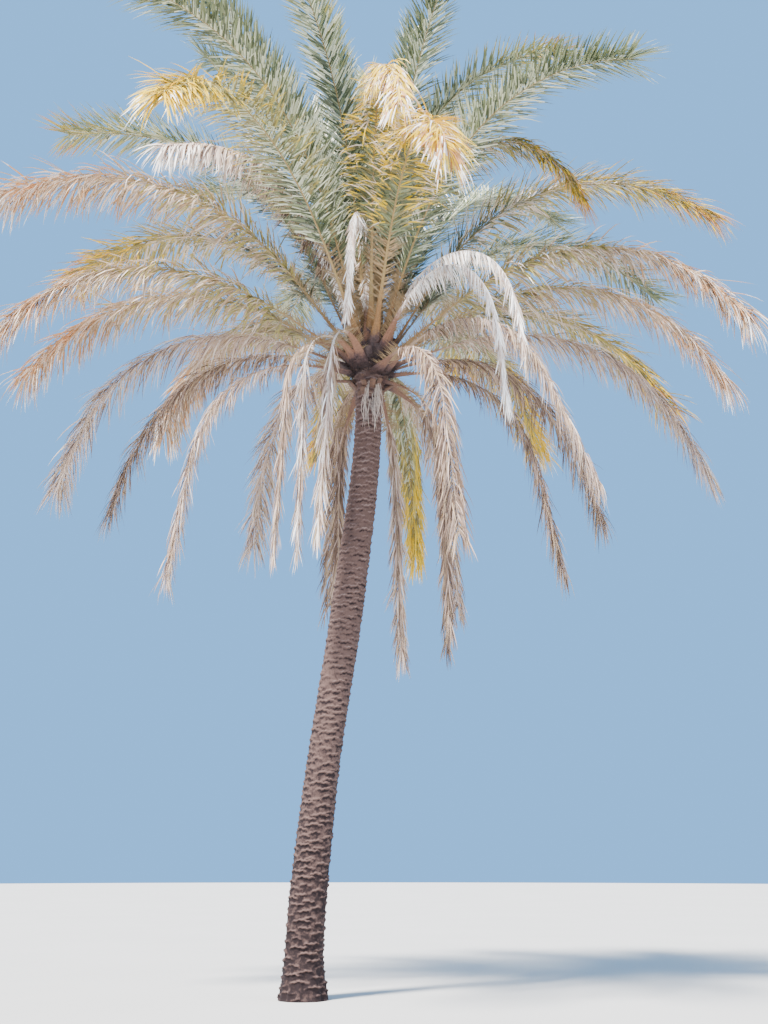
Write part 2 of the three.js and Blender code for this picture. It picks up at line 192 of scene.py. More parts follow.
# Each leaf base sits this far round the trunk from the one before it: a scar in radians, a base in degrees.
GOLDEN_ANGLE = 2.39996
GOLDEN_DEGREES = 137.5

# Leaf scars: their half-angles in radians at two heights. Then, in metres, how far their ends hang below
# their middle, how soon they fade above and below their edge, and how far down and how high the groove's
# painted shadow is.
SCAR_HEIGHTS = (1.2, 4.5)
SCAR_HALF_ANGLES = (0.5, 0.74)
SCAR_DROOP = 0.016
SCAR_EDGE = 0.01
SCAR_UNDERSIDE = 0.012
GROOVE_SHADOW_DROP = 0.026
GROOVE_SHADOW_HEIGHT = 0.014

# Old leaf bases at the neck and folded sheaths round the heart: the lowest, and the height that they fill.
OLD_BASE_START = 6.68
OLD_BASE_HEIGHT = 0.55
SHEATH_START = 7.2
SHEATH_HEIGHT = 0.28

# Fibres round the heart and torn strips at the neck: the lowest and the highest.
FIBRES = (7.12, 7.65)
STRIPS = (6.78, 7.06)
STRIP_COUNT = 80
STRIP_TUFTS = 9

# Leaflets and spines stand this share of the rib's width out from its middle.
RIB_EDGE = 0.4
RIB_SIDES = 8
SPINES_A_SIDE = 64

# The key and fill lights are slightly warm.
WARM_LIGHT = (1.0, 0.965, 0.92)

UP = np.array((0, 0, 1.0))

SEED = 7


def linear(hexed):
    """An sRGB hex colour as linear red, green and blue."""
    channels = [int(hexed[n:n + 2], 16) / 255 for n in (1, 3, 5)]
    return tuple(c / 12.92 if c <= 0.04045 else ((c + 0.055) / 1.055) ** 2.4 for c in channels)


def colour(words, hexed):
    """A colour property with its words and its sRGB default."""
    return bpy.props.FloatVectorProperty(
        name=words, description=f"Base colour of {words.lower()}", subtype="COLOR", size=3,
        min=0, max=1, default=linear(hexed))


def length(words, metres):
    """A length property with its words and its default in metres."""
    return bpy.props.FloatProperty(
        name=words, description=f"{words}, real size", default=metres, min=0, unit="LENGTH", precision=4)


class PalmStage(bpy.types.PropertyGroup):
    floor_radius: length("Floor radius", 60)
    key_strength: bpy.props.FloatProperty(
        name="Key light", description="Strength of the high, soft key light", default=18, min=0)
    sky_strength: bpy.props.FloatProperty(
        name="Surrounding light", description="Strength of the light from all round", default=1.4, min=0)
    floor: colour("The floor", "#bfbcb7")
    backdrop: colour("The backdrop", "#7cbcfc")


class PalmTrunk(bpy.types.PropertyGroup):
    scar_gap: length("Height between leaf scars", 0.0135)
    scar_lip: length("Depth of a scar's lip", 0.016)
    scar_reach: length("Height of one leaf base's scale", 0.07)
    ground: colour("Old leaf bases", "#604c46")
    # Painted light: the groove colour is shadow under each lip, and the lip colour a highlight where light
    # catches it.
    groove_shadow: colour("Grooves between leaf bases", "#261c1d")
    lip_highlight: colour("Dry lips of the scars", "#8b7670")
    boot: colour("Cut leaf bases", "#6f503f")
    boot_cut: colour("Cut ends of leaf bases", "#a27c66")
    sheath: colour("Leaf sheaths round the heart", "#574341")
    # The fibre's own brown is darkened further with painted shade round the heart.
    shaded_fibre: colour("Leaf sheath fibre", "#4d3c39")
    strip: colour("Torn dry sheath strips", "#cbb9ab")


class PalmCrown(bpy.types.PropertyGroup):
    leaflet_gap: length("Gap between leaflets", 0.0105)
    leaflet_width: length("Width of a living leaflet", 0.021)
    dry_width: length("Width of a dead, folded leaflet", 0.014)
    spine_length: length("Length of a petiole spine", 0.14)
    fibre_count: bpy.props.IntProperty(
        name="Fibres", description="Number of fibres round the heart", default=3600, min=0)


class PalmColours(bpy.types.PropertyGroup):
    deep_green: colour("Shaded grey-green leaflets", "#4f573b")
    grey_green: colour("Grey-green leaflets", "#838a64")
    # Pale green leaflets: partly their own waxy tone, partly a painted glint of sun.
    glint_pale_green: colour("Waxy pale green leaflets", "#cdd0b4")
    olive: colour("Olive leaflets", "#857a4c")
    yellow_green: colour("Yellow-green leaflets", "#ada056")
    yellow: colour("Yellow leaflets", "#e4be1c")
    orange_tan: colour("Orange-tan leaflet tips", "#c59262")
    tan: colour("Tan dead leaflets", "#b2987a")
    pink_tan: colour("Pinkish-tan dead leaflets", "#c3a898")
    beige: colour("Beige dead leaflets", "#dccabb")
    bone: colour("Sun-bleached dead leaflets", "#fffaf4")
    grey_brown: colour("Grey-brown dead leaflets", "#80695b")
    brown: colour("Brown dead leaflets", "#67503f")
    living_base: colour("Broad bases of living petioles", "#8f6a42")
    dead_base: colour("Broad bases of dead petioles", "#755748")
    bleached_base: colour("Broad bases of the palest petioles", "#8a6551")
    living_rib: colour("Living petioles and ribs", "#9a8154")
    dead_rib: colour("Dead petioles and ribs", "#a48d79")
    bleached_rib: colour("Sun-bleached dead ribs", "#e3d5cb")
    spine: colour("Petiole spines", "#927a58")


LEAF_TINTS = ("deep_green", "grey_green", "glint_pale_green", "olive", "yellow_green", "yellow", "orange_tan",
              "tan", "pink_tan", "beige", "bone", "grey_brown", "brown")
LIVING_TINTS = LEAF_TINTS[:6]


def chance(i, k):
    """The part's repeatable number from 0 to 1 for item i and use k."""
    value = math.sin(i * 12.9898 + k * 78.233) * 43758.5453
    return value - math.floor(value)


def spread(i, k, width):
    return width * (chance(i, k) - 0.5)


def smoothstep(x, low, high):
    t = np.clip((x - low) / (high - low), 0, 1)
    return t * t * (3 - 2 * t)


def unit(vectors):
    return vectors / np.linalg.norm(vectors, axis=-1, keepdims=True)


def blend(a, b, t):
    """a where t is 0 and b where t is 1, with t spread over the last axis."""
    return a + (b - a) * np.asarray(t)[..., None]


def darker(rgb, share):
    """A colour at a share of its brightness."""
    return tuple(share * c for c in rgb)


def level_ways(azimuth):
    """Level directions outwards from the trunk and round it, at azimuths in radians."""
    cos, sin, level = np.cos(azimuth), np.sin(azimuth), 0 * azimuth
    return np.stack([cos, sin, level], -1), np.stack([-sin, cos, level], -1)


def axis_x(z):
    """How far the trunk's axis has moved towards +X at height z."""
    return LEAN * smoothstep(z, 0, LEAN_HEIGHT)


def trunk_radius(z):
    flare = SHAFT_RADIUS + (FOOT_RADIUS - SHAFT_RADIUS) * (1 - np.clip(z / FLARE_HEIGHT, 0, 1)) ** 2
    shaft = np.interp(z, (FLARE_HEIGHT, SHAFT_TOP), (SHAFT_RADIUS, NECK_RADIUS))
    bulb = np.interp(z, BULB_HEIGHTS, BULB_RADII)
    return np.where(z < FLARE_HEIGHT, flare, np.where(z < SHAFT_TOP, shaft, bulb))


def around(z, azimuth, radius):
    """Points at heights z, azimuths in radians and distances from the leaning axis."""
    return np.stack([axis_x(z) + radius * np.cos(azimuth), radius * np.sin(azimuth), z + 0 * azimuth], -1)


class Rib:
    """The path of a frond's rib and its directions, by the part's rule."""

    def __init__(self, whorl, azimuth, number, own):
        more_rise, longer, more_bend = own
        self.whorl = whorl
        self.number = number
        self.azimuth = azimuth
        self.rise = whorl.rise + more_rise + spread(number, 1, RISE_SPREAD)
        self.length = whorl.length * longer * (1 + spread(number, 2, LENGTH_SPREAD))
        self.bend = whorl.bend * (1 + spread(number, 3, BEND_SPREAD)) + more_bend
        self.sway = spread(number, 4, SWAY_SPREAD)
        self.twist = spread(number, 5, TWIST_SPREAD)
        steps = (np.arange(RIB_STEPS) + 0.5) / RIB_STEPS
        seat = around(np.array(whorl.seat), np.radians(azimuth), trunk_radius(np.array(whorl.seat)))
        walk = np.cumsum(self.directions(steps)[0] * self.length / RIB_STEPS, axis=0)
        self.points = np.vstack([seat, seat + walk])

    def directions(self, share):
        """Along the rib, out of its top, and to its right, at shares of its length."""
        whorl = self.whorl
        up = np.radians(self.rise - self.bend * smoothstep(share, whorl.start, whorl.end))
        turn = np.radians(self.azimuth + self.sway * share ** 2)
        twist = np.radians(self.twist * share ** 2)[..., None]
        outward = np.stack([np.cos(turn), np.sin(turn), 0 * turn], -1)
        along = outward * np.cos(up)[..., None] + UP * np.sin(up)[..., None]
        flat = outward * -np.sin(up)[..., None] + UP * np.cos(up)[..., None]
        right = np.cross(along, flat)
        cos, sin = np.cos(twist), np.sin(twist)
        return along, flat * cos + right * sin, right * cos - flat * sin

    def places(self, share):
        steps = np.asarray(share) * RIB_STEPS
        return np.stack([np.interp(steps, range(RIB_STEPS + 1), self.points[:, k]) for k in range(3)], -1)

    def width(self, share):
        taper = np.clip(1 - share / BLADE_START, 0, 1) ** BASE_TAPER
        base = BLADE_RIB + (self.whorl.base - BLADE_RIB) * taper
        return np.where(share < BLADE_START, base, np.interp(share, (BLADE_START, 1), (BLADE_RIB, TIP_RIB)))


def crown():
    """Every frond's rib with its look and its node's name, in the part's order."""
    fronds = []
    for whorl in WHORLS:
        for n, (azimuth, look) in enumerate(whorl.looks.items()):
            name = f"frond_{whorl.name}_{n + 1}"
            fronds.append((Rib(whorl, azimuth, len(fronds), OWN_WAYS.get(name, (0, 1, 0))), look, name))
    return fronds


def blades(root, ways, normal, lengths, widths, profile, depth):
    """Closed three-sided blades as triangles: their vertices and, for each, its faces and stretches.

    ways holds each blade's direction over each stretch, and profile its share of the width at each
    station but the last, which is its point. depth is how far its keel lies below its edges, as a
    share of its width.
    """
    count, stretches = ways.shape[:2]
    steps = ways * (np.asarray(lengths)[:, None] / stretches)[..., None]
    path = np.concatenate([root[:, None], root[:, None] + np.cumsum(steps, 1)], 1)
    side = unit(np.cross(ways, normal[:, None] + 1e-4))
    over = np.cross(side, ways)
    half = (np.asarray(widths)[:, None] * np.asarray(profile) / 2)[..., None]
    rings = np.stack([path[:, :-1] - side * half, path[:, :-1] + side * half,
                      path[:, :-1] - over * half * 2 * depth], 2)
    points = np.concatenate([rings.reshape(count, -1, 3), path[:, -1:]], 1)
    faces, stretch = [(0, 2, 1)], [0]
    for n in range(stretches):
        for a, b in ((0, 1), (1, 2), (2, 0)):
            low, high = 3 * n, 3 * n + 3
            if n == stretches - 1:
                faces.append((low + a, low + b, high))
                stretch.append(n)
            else:
                faces += [(low + a, low + b, high + b), (low + a, high + b, high + a)]
                stretch += [n, n]
    per_blade = points.shape[1]
    faces = np.array(faces) + (np.arange(count) * per_blade)[:, None, None]
    return points.reshape(-1, 3), faces.reshape(-1, 3), np.tile(stretch, (count, 1))


def in_one_material(shape):
    """Blades as a part whose faces all have the first material."""
    points, faces, _ = shape
    return points, faces, np.zeros(len(faces), int)


def joined(name, parts, materials):
    """One mesh object of many small shapes. Each part is vertices, triangles and material numbers."""
    starts = np.cumsum([0] + [len(part[0]) for part in parts[:-1]])
    points = np.concatenate([part[0] for part in parts])
    faces = np.concatenate([part[1] + start for part, start in zip(parts, starts)])
    mesh = bpy.data.meshes.new(name)
    mesh.from_pydata(points, [], faces)
    for material in materials:
        mesh.materials.append(material)
    mesh.polygons.foreach_set("material_index", np.concatenate([part[2].ravel() for part in parts]))
    return shown(name, mesh)


def shown(name, mesh, smooth=False):
    """An object at the origin that rides on the tree's one body."""
    mesh.polygons.foreach_set("use_smooth", [smooth] * len(mesh.polygons))
    mesh.update()
    piece = bpy.data.objects.new(name, mesh)
    bpy.context.scene.collection.objects.link(piece)
    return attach(piece, "root")


def add_node(tree, kind, settings=None, links=None):
    """Adds a node, sets its values and its sockets by name or number, and links its inputs."""
    node = tree.nodes.new(kind)
    for key, value in (settings or {}).items():
        if isinstance(key, int) or key in node.inputs:
            node.inputs[key].default_value = value
        else:
            setattr(node, key, value)
    for key, socket in (links or {}).items():
        tree.links.new(socket, node.inputs[key])
    return node


def new_material(name):
    """An empty material with its shader linked up."""
    material = bpy.data.materials.new(name)
    material.use_nodes = True
    tree = material.node_tree
    return material, tree, tree.nodes["Principled BSDF"]


def plain_material(name, rgb, roughness, specular):
    """Waxy or papery leaf in one base colour, for pieces made of thousands of joined blades."""
    material, _, shader = new_material(name)
    shader.inputs["Base Color"].default_value = (*rgb, 1)
    shader.inputs["Roughness"].default_value = roughness
    shader.inputs["Specular IOR Level"].default_value = specular
    return material


def leaf_material(tint):
    """Living leaflets carry a grey wax that gives a soft sheen; dead ones are dull, dry paper."""
    name = f"{'waxy' if tint in LIVING_TINTS else 'dried'}_leaflet_{tint}"
    if name in bpy.data.materials:
        return bpy.data.materials[name]
    living = tint in LIVING_TINTS
    rgb = getattr(bpy.context.scene.palm_colours, tint)
    return plain_material(name, rgb, 0.34 if living else 0.62, 0.6 if living else 0.35)


def object_place(tree):
    """Each point's own place on its object, in metres."""
    return add_node(tree, "ShaderNodeTexCoord").outputs["Object"]


def noise(tree, place, scale, **settings):
    """The strength of a noise pattern with patches about 1 / scale across, in the units of place."""
    node = add_node(tree, "ShaderNodeTexNoise", {"Scale": scale, **settings}, {"Vector": place})
    return node.outputs["Fac"]


def multiplied(tree, rgb, shade):
    """A colour made darker and lighter by a shade."""
    mixed = add_node(tree, "ShaderNodeMix", {"data_type": "RGBA", "blend_type": "MULTIPLY", 0: 1.0},
                     {6: rgb, 7: shade})
    return mixed.outputs[2]


def add_bump(tree, shader, strength, height):
    """Relief 4 mm deep that follows a pattern."""
    bump = add_node(tree, "ShaderNodeBump", {"Strength": strength, "Distance": 0.004}, {"Height": height})
    tree.links.new(bump.outputs["Normal"], shader.inputs["Normal"])


def ramp(tree, factor, stops):
    """A colour ramp over linear colours."""
    node = add_node(tree, "ShaderNodeValToRGB", links={"Fac": factor})
    elements = node.color_ramp.elements
    elements.remove(elements[1])
    elements[0].position = stops[0][0]
    for n, (position, rgb) in enumerate(stops):
        element = elements.new(position) if n else elements[0]
        element.color = (*rgb, 1)
    return node.outputs["Color"]


def bark_material():
    """Old palm bark: dark fibrous leaf bases in shingles, with painted shadow in the grooves, painted
    highlights on the lips, and painted shade towards the foot.
    """
    sizes = bpy.context.scene.palm_trunk
    material, tree, shader = new_material("palm_bark_leaf_scars")
    scar = add_node(tree, "ShaderNodeAttribute", {"attribute_name": "scar"}).outputs["Fac"]
    place = object_place(tree)
    # Patches of weathering are about 60 mm across, and fibres run up the bark 3 mm apart.
    patches = noise(tree, place, 16.0, Detail=5.0, Roughness=0.7)
    stretched = add_node(tree, "ShaderNodeMapping", {"Scale": (330.0, 330.0, 40.0)},
                         {"Vector": place}).outputs["Vector"]
    fibres = noise(tree, stretched, 1.0, Detail=3.0)
    # The scar shading is painted light and shade on lips, grooves and foot; the patches are weathering.
    weathering_and_shade = add_node(tree, "ShaderNodeMath", {"operation": "MULTIPLY_ADD", 1: 0.9},
                    {0: patches, 2: scar}).outputs["Value"]
    base = ramp(tree, weathering_and_shade, [(0.2, sizes.groove_shadow), (0.42, sizes.ground), (0.6, sizes.ground),
                             (0.95, sizes.lip_highlight)])
    shade = ramp(tree, fibres, [(0.3, (0.62, 0.6, 0.6)), (0.7, (1.12, 1.1, 1.08))])
    tree.links.new(multiplied(tree, base, shade), shader.inputs["Base Color"])
    add_bump(tree, shader, 0.5, fibres)
    shader.inputs["Roughness"].default_value = 0.9
    shader.inputs["Specular IOR Level"].default_value = 0.2
    return material


def boot_material(name, rgb, dark):
    """Dry leaf base: hard, grained along its length, darker where it has weathered."""
    material, tree, shader = new_material(name)
    place = object_place(tree)
    # Grain is about 4 mm wide, drawn in patches of about 30 mm so that it shows from the ground.
    grain = noise(tree, place, 34.0, Detail=6.0, Roughness=0.7)
    tree.links.new(ramp(tree, grain, [(0.32, dark), (0.68, rgb)]), shader.inputs["Base Color"])
    add_bump(tree, shader, 0.4, grain)
    shader.inputs["Roughness"].default_value = 0.72
    return material


def petiole_material(name, base, rgb, roughness):
    """Petiole: painted shade at its seat in the heart, then a purple-brown folded sheath, then a broad grained
    base, then smooth in its own colour.
    """
    trunk = bpy.context.scene.palm_trunk
    material, tree, shader = new_material(name)
    place = object_place(tree)
    # The zones wander by a hand's width, and the grain is in patches of about 17 mm, with finer grain in them.
    wander = noise(tree, place, 9.0, Detail=5.0, Roughness=0.75)
    from_heart = add_node(tree, "ShaderNodeAttribute", {"attribute_name": "from_heart"}).outputs["Fac"]
    zone = add_node(tree, "ShaderNodeMath", {"operation": "MULTIPLY_ADD", 1: 0.5},
                    {0: wander, 2: from_heart}).outputs["Value"]
    # The darkest stop, at the seat where the petiole sinks in among the others, is painted shade.
    zones = ramp(tree, zone, [(0.24, darker(trunk.sheath, 0.3)), (0.34, trunk.sheath),
                              (0.46, base), (0.68, base), (1.0, rgb)])
    grain = noise(tree, place, 60.0, Detail=4.0, Roughness=0.7)
    shade = ramp(tree, grain, [(0.3, (0.6, 0.58, 0.56)), (0.62, (1.1, 1.1, 1.1))])
    tree.links.new(multiplied(tree, zones, shade), shader.inputs["Base Color"])
    shader.inputs["Roughness"].default_value = roughness
    shader.inputs["Specular IOR Level"].default_value = 0.3
    return material


def floor_material():
    """Matt studio floor, very slightly mottled."""
    stage = bpy.context.scene.palm_stage
    material, tree, shader = new_material("matt_studio_floor")
    place = object_place(tree)
    mottle = noise(tree, place, 0.4, Detail=2.0)
    mottled = ramp(tree, mottle, [(0.35, darker(stage.floor, 0.96)), (0.65, stage.floor)])
    tree.links.new(mottled, shader.inputs["Base Color"])
    shader.inputs["Roughness"].default_value = 0.95
    return material


def scar_relief(z, azimuth, sizes):
    """How far the bark stands out at each point, from 0 to 1, and its shade.

    Leaf scars wind up the trunk in a spiral, each a wide, thin crescent that juts out over a dark groove.
    The shade is painted light: a highlight on their lips, shadow in the grooves, and shade deepening towards
    the trunk's foot.
    """
    relief, lips, groove_shadows = np.zeros((3, len(z)))
    nearest = np.floor(z / sizes.scar_gap).astype(int)
    for offset in range(-3, 7):
        n = nearest + offset
        ragged = np.sin(n * 12.9898) * 43758.5453
        ragged = ragged - np.floor(ragged)
        centre = n * GOLDEN_ANGLE + 0.6 * (ragged - 0.5)
        away = (azimuth - centre + np.pi) % (2 * np.pi) - np.pi
        width = np.interp(n * sizes.scar_gap, SCAR_HEIGHTS, SCAR_HALF_ANGLES) * (0.7 + 0.6 * ragged)
        share = np.clip(np.abs(away) / width, 0, 1)
        edge = 0.006 * np.sin(9 * away + 17 * ragged) + 0.005 * np.sin(23 * away + 5 * ragged)
        above = z - (n + 1.4 * ragged) * sizes.scar_gap + SCAR_DROOP * share ** 2 - edge
        side = (1 - share ** 4) * (0.6 + 0.4 * ragged)
        scale = np.clip(1 + above / sizes.scar_reach, 0, 1)
        under = 0.35 * scale + 0.65 * np.exp(-(above / SCAR_UNDERSIDE) ** 2)
        relief = np.maximum(relief, side * np.where(above > 0, np.exp(-(above / SCAR_EDGE) ** 2), under))
        # A painted highlight runs along each lip, and painted shadow fills the groove below it.
        lips = np.maximum(lips, side * np.exp(-((above - 0.001) / SCAR_EDGE) ** 2))
        groove_shadows = np.maximum(groove_shadows, side * np.exp(-((above + GROOVE_SHADOW_DROP) / GROOVE_SHADOW_HEIGHT) ** 2))
    # Painted shade deepens towards the foot, where the lips' painted highlights also fade.
    foot_shade = np.clip(1 - z / SHAFT_TOP, 0, 1)
    shade = 0.16 + 0.42 * lips - 0.34 * groove_shadows * (1 - lips)
    return relief, shade * (1 - 0.5 * foot_shade) - 0.33 * foot_shade


class PALM_OT_camera(bpy.types.Operator):
    """Put the camera where the photo was taken from"""
    bl_idname = "palm.camera"
    bl_label = "Photo camera"

    def execute(self, context):
        data = bpy.data.cameras.new("photo_camera")
        data.lens = EYE_LENS
        data.clip_end = 500
        camera = bpy.data.objects.new("photo_camera", data)
        camera.location = EYE
        camera.rotation_euler = (math.radians(90 + EYE_PITCH), 0, 0)
        context.scene.collection.objects.link(camera)
        context.scene.camera = camera
        return {"FINISHED"}


class PALM_OT_stage(bpy.types.Operator):
    """Lay a plain pale floor and set soft light round the tree"""
    bl_idname = "palm.stage"
    bl_label = "Floor and light"

    def execute(self, context):
        stage = context.scene.palm_stage
        bm = bmesh.new()
        bmesh.ops.create_circle(bm, cap_ends=True, segments=96, radius=stage.floor_radius)
        bmesh.ops.translate(bm, verts=bm.verts, vec=(0, 0, -0.001))
        mesh = bpy.data.meshes.new("studio_floor")
        bm.to_mesh(mesh)
        bm.free()
        mesh.materials.append(floor_material())
        floor = bpy.data.objects.new("studio_floor", mesh)
        context.scene.collection.objects.link(floor)
        floor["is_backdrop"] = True
        world = bpy.data.worlds.new("soft_surroundings")
        world.use_nodes = True
        background = world.node_tree.nodes["Background"]
        background.inputs["Color"].default_value = (*stage.backdrop, 1)
        background.inputs["Strength"].default_value = stage.sky_strength
        context.scene.world = world
        # Each light's turn in degrees, its share of the key's strength and its softness in degrees.
        lights = [("high_key", (32, 0, -38), 1.0, 9), ("low_fill", (72, 0, 62), 0.14, 40)]
        for name, turn, share, softness in lights:
            data = bpy.data.lights.new(name, "SUN")
            data.energy = stage.key_strength * share
            data.angle = math.radians(softness)
            data.color = WARM_LIGHT
            light = bpy.data.objects.new(name, data)
            light.rotation_euler = [math.radians(a) for a in turn]
            context.scene.collection.objects.link(light)
        return {"FINISHED"}


class PALM_OT_trunk_bark(bpy.types.Operator):
    """Wrap the trunk in shingled leaf scars, from the root flare to the bud"""
    bl_idname = "palm.trunk_bark"
    bl_label = "Trunk bark"

    def execute(self, context):
        sizes = context.scene.palm_trunk
        sides, rows = 88, 1120
        bm = bmesh.new()
        bmesh.ops.create_grid(bm, x_segments=sides, y_segments=rows, size=0.5)
        mesh = bpy.data.meshes.new("trunk_bark")
        bm.to_mesh(mesh)
        flat = np.zeros(len(mesh.vertices) * 3)
        mesh.vertices.foreach_get("co", flat)
        flat = flat.reshape(-1, 3)
        azimuth = (flat[:, 0] + 0.5) * 2 * np.pi
        z = (flat[:, 1] + 0.5) * BULB_HEIGHTS[-1]
        relief, scar = scar_relief(z, azimuth, sizes)
        # Scars stand out further near the foot, roots swell it, and the shaft isn't quite round.
        rough_foot = 1 + 0.7 * (1 - smoothstep(z, 0.2, 2.6))
        roots = 0.014 * np.sin(11 * azimuth + 2.0 * np.sin(3 * azimuth)) * (1 - smoothstep(z, 0.0, 0.5))
        wander = 0.006 * np.sin(2 * azimuth + 1.7 * z) + 0.004 * np.sin(3 * azimuth - 2.9 * z)
        fade = 1 - smoothstep(z, BULB_HEIGHTS[-4], BULB_HEIGHTS[-1])
        out = (sizes.scar_lip * rough_foot * (relief - 0.45) + roots + wander) * fade
        radius = trunk_radius(z) + out * smoothstep(z, -0.02, 0.04)
        points = around(z, azimuth, radius)
        mesh.vertices.foreach_set("co", points.ravel())
        # This attribute carries the painted highlights, shadows and foot shade into the bark's colour.
        lips = mesh.attributes.new("scar", "FLOAT", "POINT")
        lips.data.foreach_set("value", scar)
        bm.clear()
        bm.from_mesh(mesh)
        bmesh.ops.remove_doubles(bm, verts=bm.verts, dist=1e-6)
        bmesh.ops.holes_fill(bm, edges=[edge for edge in bm.edges if edge.is_boundary], sides=0)
        bmesh.ops.recalc_face_normals(bm, faces=bm.faces)
        bm.to_mesh(mesh)
        bm.free()
        mesh.materials.append(bark_material())
        piece = shown("trunk_bark", mesh, smooth=True)
        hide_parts("trunk")
        return {"FINISHED"}


class PALM_OT_cut_leaf_bases(bpy.types.Operator):
    """Set short cut leaf bases round the neck under the crown"""
    bl_idname = "palm.cut_leaf_bases"
    bl_label = "Cut leaf bases"

    def execute(self, context):
        sizes = context.scene.palm_trunk
        bm = bmesh.new()
        # Each base's height, azimuth, length, width and rise: cut ones, the rows of old ones, folded sheaths.
        rows = [(STUB_HEIGHT, azimuth, 0.13, 0.09, STUB_RISE) for azimuth in STUB_AZIMUTHS]
        rows.append((*LONG_STUB, 0))
        rows += [(OLD_BASE_START + OLD_BASE_HEIGHT * chance(n, 11), GOLDEN_DEGREES * n,
                  0.03 + 0.08 * chance(n, 12), 0.13, 62) for n in range(40)]
        sheaths = [(SHEATH_START + SHEATH_HEIGHT * chance(n, 16), GOLDEN_DEGREES * n,
                    0.07 + 0.08 * chance(n, 17), 0.17, 58) for n in range(36)]
        for n, (z, azimuth, reach, width, rise) in enumerate(rows + sheaths):
            tilt = math.radians(rise + spread(n, 15, 20))
            reach *= 0.85 + 0.2 * chance(n, 13)
            made = self.add_base(bm, n, z, math.radians(azimuth), reach, width, tilt)
            if n >= len(rows):
                for face in made:
                    face.material_index = 2
        mesh = bpy.data.meshes.new("cut_leaf_bases")
        bmesh.ops.recalc_face_normals(bm, faces=bm.faces)
        bm.to_mesh(mesh)
        bm.free()
        mesh.materials.append(boot_material("dry_cut_leaf_base", sizes.boot, darker(sizes.boot, 0.35)))
        mesh.materials.append(boot_material("dry_cut_leaf_end", sizes.boot_cut, sizes.boot))
        mesh.materials.append(boot_material("folded_leaf_sheath", sizes.sheath, darker(sizes.sheath, 0.3)))
        piece = shown("cut_leaf_bases", mesh)
        return {"FINISHED"}

    def add_base(self, bm, n, z, azimuth, reach, width, rise):
        """A tapering base with a hollow upper side and a sloping cut end, sunk into the neck."""
        made = bmesh.ops.create_circle(bm, cap_ends=True, segments=12, radius=0.5)
        ring = made["verts"]
        for vert in ring:
            hollow = 0.25 * (1 - (2 * vert.co.x) ** 2) if vert.co.y > 0 else 0
            vert.co = Vector((0, vert.co.x * width, (vert.co.y * 0.6 - hollow) * width))
        face = ring[0].link_faces[0]
        steps = 5
        for step in range(steps):
            pushed = bmesh.ops.extrude_discrete_faces(bm, faces=[face])["faces"][0]
            bmesh.ops.translate(bm, verts=pushed.verts, vec=((reach + 0.06) / steps, 0, 0))
            middle = pushed.calc_center_median()
            taper = 0.93 + 0.04 * chance(n, 20 + step)
            for vert in pushed.verts:
                vert.co = middle + (vert.co - middle) * taper
            face = pushed
        for vert in face.verts:
            vert.co.x -= 0.5 * vert.co.z
        face.material_index = 1
        shape = self.grown(face)
        turn = Matrix.Rotation(azimuth + spread(n, 14, 0.25), 4, "Z")
        tilt = Matrix.Rotation(-rise, 4, "Y")
        foot = around(np.array(z), np.array(azimuth), trunk_radius(np.array(z)) - 0.06)
        bmesh.ops.transform(bm, verts=list(shape), matrix=Matrix.Translation(foot) @ turn @ tilt)
        return {near for vert in shape for near in vert.link_faces}

    def grown(self, face):
        """Every vertex that hangs together with a face."""
        found, waiting = set(face.verts), list(face.verts)
        while waiting:
            for edge in waiting.pop().link_edges:
                for vert in edge.verts:
                    if vert not in found:
                        found.add(vert)
                        waiting.append(vert)
        return found


class PALM_OT_heart_fibre(bpy.types.Operator):
    """Mat sheath fibre round the heart, its own brown deepened with painted shade, and hang torn dry strips
    over the neck
    """
    bl_idname = "palm.heart_fibre"
    bl_label = "Heart fibre"

    def execute(self, context):
        sizes = context.scene.palm_trunk
        rng = np.random.default_rng(SEED)
        count = context.scene.palm_crown.fibre_count
        z = rng.uniform(*FIBRES, count)
        azimuth = rng.uniform(0, 2 * np.pi, count)
        root = around(z, azimuth, trunk_radius(z) - 0.01)
        outward, across = level_ways(azimuth)
        lean = rng.normal(0, 0.7, (count, 1))
        first = unit(outward * rng.uniform(0.15, 0.9, (count, 1)) + across * lean
                     + UP * rng.uniform(-0.3, 0.9, (count, 1)))
        last = unit(outward * 0.25 + across * rng.normal(0, 1, (count, 1))
                    + UP * rng.uniform(-1, 0.4, (count, 1)))
        ways = np.stack([first, unit(first + last), last], 1)
        mat = blades(root, ways, outward, rng.uniform(0.06, 0.2, count), rng.uniform(0.004, 0.01, count),
                     (1, 0.8, 0.5), 0.3)
        shaded_fibre = boot_material("shaded_leaf_sheath_fibre", sizes.shaded_fibre, darker(sizes.shaded_fibre, 0.3))
        piece = joined("heart_fibre", [in_one_material(mat)], [shaded_fibre])
        # The strips hang in tufts at the front of the neck.
        count = STRIP_COUNT
        tuft = rng.integers(0, STRIP_TUFTS, count)
        azimuth = np.radians(rng.normal(279, 15, STRIP_TUFTS)[tuft] + rng.normal(0, 4, count))
        z = rng.uniform(*STRIPS, STRIP_TUFTS)[tuft] + rng.normal(0, 0.03, count)
        outward, across = level_ways(azimuth)
        root = around(z, azimuth, trunk_radius(z) + 0.005)
        ways = np.stack([unit(outward * out + across * rng.normal(0, 0.17, (count, 1)) - UP)
                         for out in (0.5, 0.12, 0.0, 0.0)], 1)
        reach, width = rng.uniform(0.2, 0.72, count) ** 2, rng.uniform(0.006, 0.014, count)
        strips = blades(root, ways, outward, reach, width, (0.7, 1, 0.8, 0.5), 0.2)
        dry = boot_material("torn_dry_sheath", sizes.strip, darker(sizes.strip, 0.55))
        piece = joined("torn_sheath_strips", [in_one_material(strips)], [dry])
        return {"FINISHED"}


